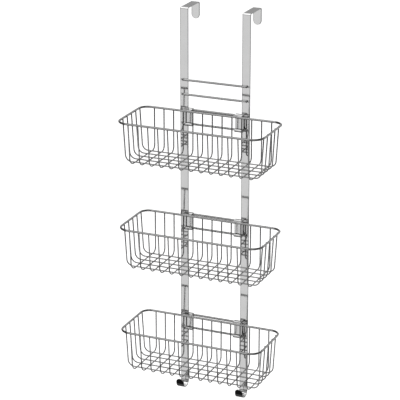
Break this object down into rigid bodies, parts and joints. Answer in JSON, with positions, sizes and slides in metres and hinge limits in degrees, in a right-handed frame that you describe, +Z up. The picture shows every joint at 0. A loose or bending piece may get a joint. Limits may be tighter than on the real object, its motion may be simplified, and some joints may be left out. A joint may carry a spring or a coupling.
{
  "type": "over-door shower caddy",
  "caption": "Tall hanging caddy: two flat-bar uprights with hooks top and bottom, cross rods, and lift-off wire baskets hung on pairs of rods.",
  "frame": {"origin": "on the top edge of the door at its front face, midway between the two top hooks; the caddy hangs from here", "axes": "+Z up; -Y is the front, where the baskets stand out; +Y points through the door; +X to the right seen from the front"},
  "size_m": [0.349, 0.2274, 0.9187],
  "materials": {
    "chrome_bar": "polished flat bar",
    "chrome_rod": "polished round rod",
    "chrome_rim": "polished round wire",
    "chrome_wire": "polished thin wire",
    "chrome_sheet": "polished sheet"
  },
  "bodies": {
    "frame": {"upright_left": "chrome_bar", "upright_right": "chrome_bar", "towel_rod_1": "chrome_rod", "towel_rod_2": "chrome_rod", "upper_rod_1": "chrome_rod", "lower_rod_1": "chrome_rod", "upper_rod_2": "chrome_rod", "lower_rod_2": "chrome_rod", "upper_rod_3": "chrome_rod", "lower_rod_3": "chrome_rod"},
    "basket_1": {"rim_1": "chrome_rim", "cross_wires_1": "chrome_wire", "floor_wires_1": "chrome_wire", "hanger_left_1": "chrome_sheet", "hanger_right_1": "chrome_sheet"},
    "basket_2": {"rim_2": "chrome_rim", "cross_wires_2": "chrome_wire", "floor_wires_2": "chrome_wire", "hanger_left_2": "chrome_sheet", "hanger_right_2": "chrome_sheet"},
    "basket_3": {"rim_3": "chrome_rim", "cross_wires_3": "chrome_wire", "floor_wires_3": "chrome_wire", "hanger_left_3": "chrome_sheet", "hanger_right_3": "chrome_sheet"}
  },
  "joints": [
    {"name": "lift_1", "type": "slide", "parent": "frame", "child": "basket_1", "axis": [0, 0, 1], "range_m": [0, 0.02]},
    {"name": "lift_2", "type": "slide", "parent": "frame", "child": "basket_2", "axis": [0, 0, 1], "range_m": [0, 0.02]},
    {"name": "lift_3", "type": "slide", "parent": "frame", "child": "basket_3", "axis": [0, 0, 1], "range_m": [0, 0.02]}
  ]
}
